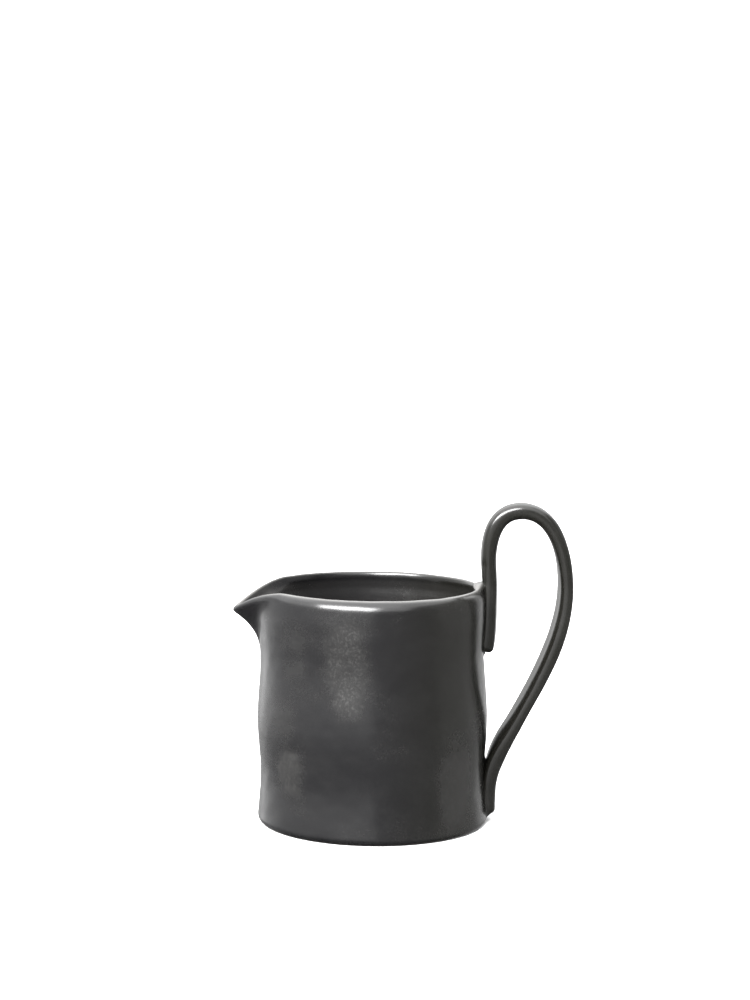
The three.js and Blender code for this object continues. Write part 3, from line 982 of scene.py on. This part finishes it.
    def hand_marks(self, grid: Array, angle: Array) -> Array:
        """Works out how far the maker's hand has pushed the skin in.

        Args:
            grid: Points of the plain skin.
            angle: Their angles.

        Returns:
            Depths in millimetres, never below 0 over most of the wall.
        """
        z = grid[..., 2]
        broad = Waves(11, 26.0, stretch=(1.0, 1.0, 0.8))(grid)
        fine = Waves(12, 9.0, stretch=(1.0, 1.0, 0.7))(grid)
        sunk = self.unevenness * (1.0 + 0.75 * broad + 0.35 * fine)
        for dent in self.dents:
            sunk = sunk + dent.sink(angle, z, self.form.body_radius)
        return sunk * smooth_step(0.4, 5.0, z)

    def thin_and_lit_share(self, grid: Array, angle: Array, outer_side: Array) -> Array:
        """Works out the painted light: a painted highlight along the crest, where the glaze also runs thin,
        and painted light inside near the mouth.

        Args:
            grid: Points of the plain skin.
            angle: Their angles.
            outer_side: 1 on the outside and the rim, and 0 inside.

        Returns:
            A bell of the drop below the crest, or a share that grows upwards inside and is
            larger in the spout, whichever is more.
        """
        z = grid[..., 2]
        # painted highlight along the crest, where the glaze also runs thin
        on_crest = bell(self.form.rim_level(angle) - z, self.thin_and_lit_edge)
        # painted light inside, growing towards the mouth and larger in the spout
        spout = 1 - smooth_step(*self.painted_light_spout_edges, self.form.from_spout(angle))
        share = self.painted_light_inside + self.painted_light_spout * spout
        inside = share * smooth_step(*self.painted_light_inside_edges, z) * (1 - outer_side)
        return np.maximum(on_crest, inside)

    def build(self) -> bpy.types.Object:
        """Makes the skin, raised by the joining clay and sunk by the maker's hand.

        Returns:
            The piece.
        """
        grid, angle, outer_side = self.skin()
        thin_and_lit_share = self.thin_and_lit_share(grid, angle, outer_side)
        normals = grid_normals(grid)
        lift = self.joining_clay(grid) - self.hand_marks(grid, angle) * (0.4 + 0.6 * outer_side)
        grid = grid + normals * lift[..., None]
        bottom = np.array([0.0, 0.0, self.glaze_line])
        floor = np.array([0.0, 0.0, grid[-1, :, 2].mean()])
        cup = closed_skin("glazed_cup", grid, bottom, floor)
        thin_and_lit = cup.data.attributes.new(THIN_GLAZE_AND_PAINTED_LIGHT, "FLOAT", "POINT")
        thin_and_lit.data.foreach_set("value", np.append(thin_and_lit_share.ravel(), [0.0, 0.0]))
        return cup


@dataclass
class GlazedHandle:
    """The glazed skin of the rolled coil."""

    form: HandleForm
    sides: int = 56
    station_step: float = 0.55
    end_rows: int = 9
    unevenness: float = 0.035

    def build(self) -> bpy.types.Object:
        """Makes the coil: an oval section carried along the centre line, with rounded ends.

        A ring's point is centre + half thickness cos(t) outward + radius sin(t) across, and
        the rings shrink to nothing over the ends as a quarter circle does.

        Returns:
            The piece.
        """
        form = self.form
        turn = np.linspace(0, math.pi / 2, self.end_rows + 1)[1:]
        inset, shrink = form.end_rounding * (1 - np.cos(turn)), np.sin(turn)
        count = int((form.length - 2 * form.end_rounding) / self.station_step)
        middle = np.linspace(form.end_rounding, form.length - form.end_rounding, count)[1:-1]
        distance = np.concatenate([inset, middle, (form.length - inset)[::-1]])
        size = np.concatenate([shrink, np.ones(len(middle)), shrink[::-1]])
        centre, tangent = form.along(distance)
        across = np.array([0.0, 1.0, 0.0])
        outward = np.cross(across, tangent)
        turns = np.linspace(0, 2 * math.pi, self.sides, endpoint=False)
        out_by, across_by = form.section(centre[:, 2], distance, turns)
        outward_part = (out_by * size[:, None])[..., None] * outward[:, None, :]
        across_part = (across_by * size[:, None])[..., None] * across
        grid = centre[:, None, :] + outward_part + across_part
        uneven = Waves(21, 11.0)(grid) * self.unevenness - self.unevenness
        away = grid - centre[:, None, :]
        away /= np.maximum(np.linalg.norm(away, axis=-1, keepdims=True), 1e-9)
        grid = grid + away * (uneven * size[:, None])[..., None]
        return closed_skin("handle", grid, form.path[0], form.path[-1])


@dataclass
class BareFoot:
    """The underside, wiped bare of glaze and a little hollow in the middle."""

    form: CupForm
    columns: int = 160
    top: float = 0.6
    hollow: float = 0.22
    glaze_step: float = 0.08  # the glaze stands this far proud of the clay
    roughness: float = 0.05

    def build(self) -> bpy.types.Object:
        """Makes the disc: a hollow middle, a flat ring, and the start of the rounded edge.

        Returns:
            The piece.
        """
        rounding = self.form.foot_rounding
        full = float(self.form.radius(np.array(rounding)))
        flat = full - rounding - self.glaze_step
        turn = np.linspace(0, math.acos(1 - self.top / rounding), 7)
        radius = np.concatenate(
            [
                np.linspace(flat, 3.0, 26)[::-1],
                flat + rounding * np.sin(turn[1:]),
                (flat - 1.0) * np.linspace(0.97, 0.2, 6),
            ]
        )
        z = np.concatenate(
            [
                np.zeros(26),
                rounding * (1 - np.cos(turn[1:])),
                np.full(6, self.top),
            ]
        )
        angle = np.linspace(0, -2 * math.pi, self.columns, endpoint=False)[None, :]
        grid = cylinder_points(angle, radius[:, None], z[:, None])
        under = (np.arange(len(z)) < 26)[:, None] & np.ones((1, self.columns), bool)
        hollow = self.hollow * (1 - smooth_step(0.55 * flat, 0.80 * flat, radius))[:, None]
        sandy = self.roughness * (1 + Waves(31, 3.5)(grid)) * (radius < 0.985 * flat)[:, None]
        grid[..., 2] += np.where(under, hollow + np.maximum(sandy, 0.0), 0.0)
        bottom = np.array([0.0, 0.0, self.hollow + self.roughness])
        return closed_skin("bare_foot", grid[:, ::-1], bottom, np.array([0.0, 0.0, self.top]))


# The studio


@dataclass
class Studio:
    """Plain white floor, soft light and the camera at the photograph's place."""

    focal_pixels: float = 2379.0
    image_width: int = 750
    image_height: int = 1000
    camera_place: tuple[float, float, float] = (-0.277, -815.9, 199.33)
    camera_pitch: float = 6.092  # degrees below the level
    camera_roll: float = 0.642
    sensor: float = 36.0
    floor_radius: float = 3.0
    # Light by the direction that it comes from, in degrees from the camera's side, to the right
    behind_level: float = 1.05
    panel_edges: tuple[tuple[float, float], ...] = (
        (-150.0, 2.2),
        (-134.0, 1.6),
        (-118.0, 1.3),
        (-106.0, 1.1),
        (-42.0, 1.08),
        (2.0, 0.31),
        (70.0, 0.58),
        (132.0, 1.05),
    )
    panel_softness: float = 3.0
    ceiling_edges: tuple[tuple[float, float, float], ...] = ((16.0, 27.0, 3.0), (42.0, 54.0, 4.6))
    ceiling_rise: float = 24.0  # on the right the ceiling begins higher
    ceiling_rise_edges: tuple[tuple[float, float], ...] = ((34.0, 54.0), (120.0, 140.0))
    floor_edges: tuple[tuple[float, float, float], ...] = ((-8.0, -17.5, 0.45), (-26.0, -46.0, 0.10))
    seen_level: float = 1.2
    softbox_azimuth: float = -28.0
    softbox_elevation: float = 37.0
    softbox_half_width: float = 24.0
    softbox_half_height: float = 11.0
    softbox_distance: float = 1.0
    softbox_radiance: float = 30.0

    def camera(self) -> None:
        """Places the camera, pitched down and rolled, with the photograph's focal length."""
        data = bpy.data.cameras.new("camera")
        data.sensor_width = self.sensor
        data.sensor_fit = "AUTO"
        data.lens = self.focal_pixels * self.sensor / max(self.image_width, self.image_height)
        data.clip_start, data.clip_end = 0.01, 20.0
        pitch, roll = math.radians(self.camera_pitch), math.radians(self.camera_roll)
        forward = Vector((0.0, math.cos(pitch), -math.sin(pitch)))
        right, up = Vector((1.0, 0.0, 0.0)), Vector((0.0, math.sin(pitch), math.cos(pitch)))
        rolled_right = right * math.cos(roll) + up * math.sin(roll)
        rolled_up = up * math.cos(roll) - right * math.sin(roll)
        turn = Matrix((rolled_right, rolled_up, -forward)).transposed().to_4x4()
        camera = bpy.data.objects.new("camera", data)
        camera.matrix_world = Matrix.Translation(Vector(self.camera_place) * MM) @ turn
        bpy.context.scene.collection.objects.link(camera)
        bpy.context.scene.camera = camera

    def floor(self) -> None:
        """Lays a large white floor, which the gloss of the jug doesn't mirror."""
        angle = np.linspace(0, 2 * math.pi, 96, endpoint=False)
        rim = cylinder_points(angle, np.array(self.floor_radius), np.array(0.0))
        mesh = bpy.data.meshes.new("floor")
        mesh.from_pydata(rim.tolist(), [], [list(range(len(rim)))])
        floor = bpy.data.objects.new("floor", mesh)
        floor.visible_glossy = False
        bpy.context.scene.collection.objects.link(floor)
        made = bpy.data.materials.new("white_floor")
        tree = ShaderTree(made)
        paper = tree.node("ShaderNodeBsdfDiffuse", {}, {"Color": (0.88, 0.88, 0.88, 1.0)})
        tree.node("ShaderNodeOutputMaterial", {}, {"Surface": paper})
        mesh.materials.append(made)

    def surroundings(self) -> None:
        """Fills the room with light that differs by direction, as large soft panels would.

        The level turns from one panel's to the next at each edge round the jug, and from the
        panels' level to the ceiling's and to the floor's above and below.
        """
        world = bpy.data.worlds.new("studio")
        bpy.context.scene.world = world
        tree = ShaderTree(world)
        toward = tree.node("ShaderNodeTexCoord", {}, {}, "Generated")
        across, back = tree.part(toward, 0), 0 - tree.part(toward, 1)
        turn = tree.node("ShaderNodeMath", {"operation": "ARCTAN2"}, {0: across, 1: back})
        round_jug = turn * math.degrees(1)
        rise = tree.node("ShaderNodeMath", {"operation": "ARCSINE"}, {0: tree.part(toward, 2)})
        upward = rise * math.degrees(1)
        before = self.behind_level
        level: Number = before
        for edge, following in self.panel_edges:
            soft = self.panel_softness
            level = round_jug.smooth(edge - soft, edge + soft) * (following - before) + level
            before = following
        begins, ends = self.ceiling_rise_edges
        higher = round_jug.smooth(*begins) - round_jug.smooth(*ends)
        for low, high, following in self.ceiling_edges:
            share = (upward - higher * self.ceiling_rise).smooth(low, high)
            level = share * following + (1 - share) * level
        for high, low, following in self.floor_edges:
            share = upward.smooth(high, low)
            level = share * following + (1 - share) * level
        seen = tree.node("ShaderNodeLightPath", {}, {}, "Is Camera Ray")
        strength = level * (1 - seen) + seen * self.seen_level
        light = tree.node(
            "ShaderNodeBackground", {}, {"Color": (1.0, 1.0, 1.0, 1.0), "Strength": strength}
        )
        tree.node("ShaderNodeOutputWorld", {}, {"Surface": light})

    def softbox(self) -> None:
        """Hangs one soft panel high on the front left, aimed at the jug."""
        distance = self.softbox_distance
        data = bpy.data.lights.new("softbox", "AREA")
        data.shape = "RECTANGLE"
        data.size = 2 * distance * math.tan(math.radians(self.softbox_half_width))
        data.size_y = 2 * distance * math.tan(math.radians(self.softbox_half_height))
        data.energy = 4 * data.size * data.size_y * self.softbox_radiance
        azimuth, elevation = math.radians(self.softbox_azimuth), math.radians(self.softbox_elevation)
        away = Vector(
            (
                math.sin(azimuth) * math.cos(elevation),
                -math.cos(azimuth) * math.cos(elevation),
                math.sin(elevation),
            )
        )
        light = bpy.data.objects.new("softbox", data)
        light.location = Vector((0.0, 0.0, 0.06)) + away * distance
        light.rotation_mode = "QUATERNION"
        light.rotation_quaternion = (-away).to_track_quat("-Z", "Y")
        bpy.context.scene.collection.objects.link(light)

    def build(self) -> None:
        """Sets the camera, the floor, the surroundings and the soft panel."""
        self.camera()
        self.floor()
        self.surroundings()
        self.softbox()
        bpy.context.scene.view_settings.view_transform = "Standard"
        bpy.context.scene.view_settings.look = "None"


# Clouds in the glaze, with painted highlight and painted light where noted
CUP_PATCHES = (
    # painted highlight: the soft panel's gloss smeared down the front left of the wall, with the next patch
    CloudAndLightPatch((-9.5, -38.0, 61.0), (12.0, 14.0, 24.0), 0.75),
    CloudAndLightPatch((-8.0, -38.0, 48.0), (8.0, 14.0, 9.0), 0.25),
    CloudAndLightPatch((-28.0, -27.0, 23.0), (9.0, 11.0, 12.0), 0.8),
    CloudAndLightPatch((-22.0, -32.0, 12.0), (14.0, 12.0, 9.0), 0.25),
    CloudAndLightPatch((28.0, -27.0, 18.0), (12.0, 12.0, 22.0), 1.0),
    CloudAndLightPatch((-27.0, -28.0, 62.0), (9.0, 11.0, 22.0), 0.35),
    CloudAndLightPatch((-30.0, -25.0, 39.0), (10.0, 12.0, 9.0), 0.5),
    # painted light on the inner wall, seen through the mouth
    CloudAndLightPatch((9.0, 33.0, 73.0), (13.0, 10.0, 9.0), 0.35),
    CloudAndLightPatch((-37.0, -10.0, 34.0), (9.0, 16.0, 22.0), 0.5),
    CloudAndLightPatch((-38.0, 8.0, 52.0), (9.0, 15.0, 14.0), 0.5),
    CloudAndLightPatch((-27.0, 29.0, 26.0), (13.0, 12.0, 20.0), 0.6),
    CloudAndLightPatch((4.0, 39.0, 58.0), (17.0, 9.0, 18.0), 0.5),
    CloudAndLightPatch((24.0, 31.0, 24.0), (15.0, 12.0, 17.0), 0.6),
    CloudAndLightPatch((36.0, 17.0, 62.0), (9.0, 12.0, 16.0), 0.4),
    # painted light inside the spout
    CloudAndLightPatch((-42.0, 9.0, 76.0), (12.0, 16.0, 12.0), 1.2),
)
CUP_DENTS = (
    Dent(228.0, 29.5, 3.6, 2.0, 0.30),
    Dent(226.0, 22.0, 3.4, 4.0, -0.10),
    Dent(300.0, 40.0, 7.0, 9.0, 0.18),
    Dent(256.0, 3.5, 24.0, 5.0, -0.12),
    Dent(40.0, 50.0, 9.0, 11.0, 0.22),
    Dent(75.0, 20.0, 8.0, 7.0, 0.20),
    Dent(120.0, 60.0, 8.0, 8.0, 0.18),
    Dent(150.0, 32.0, 7.0, 7.0, 0.20),
)


def place(piece: bpy.types.Object, material: bpy.types.Material, slot: Slot, *nodes: str) -> None:
    """Dresses a piece, sets it on the jug's body and reports it.

    Args:
        piece: The new piece.
        material: Its finish.
        slot: The record's slot for that finish; not used.
        nodes: The solids that the piece stands for.
    """
    piece.data.materials.append(material)
    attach(piece, "root")
    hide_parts(*nodes)
    triangles = sum(len(face.vertices) - 2 for face in piece.data.polygons)
    log.info("%s: %d triangles, stands for %s", piece.name, triangles, ", ".join(nodes))


def main() -> None:
    """Builds the studio and the jug's pieces."""
    logging.basicConfig(level=logging.INFO, format="%(name)s: %(message)s")
    Studio().build()
    cup_form = CupForm()
    handle_form = HandleForm(cup_form)
    cup_glaze = Glaze("charcoal_glaze", patches=CUP_PATCHES).material()
    coil_glaze = Glaze(
        "coil_glaze", gloss_roughness=0.20, cloud_roughness=0.30, brushing=0.6, ridge_share=0.2
    ).material()

    cup = GlazedCup(cup_form, handle_form, dents=CUP_DENTS).build()
    joints = ("upper_handle_joint", "lower_handle_joint")
    place(cup, cup_glaze, Slot.GLAZE, "spouted_wall", "floor_seam_coil", *joints)
    place(GlazedHandle(handle_form).build(), coil_glaze, Slot.GLAZE, "handle_coil")
    place(BareFoot(cup_form).build(), BareClay().material(), Slot.BARE_CLAY, "floor_slab")

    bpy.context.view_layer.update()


if __name__ == "__main__":
    main()
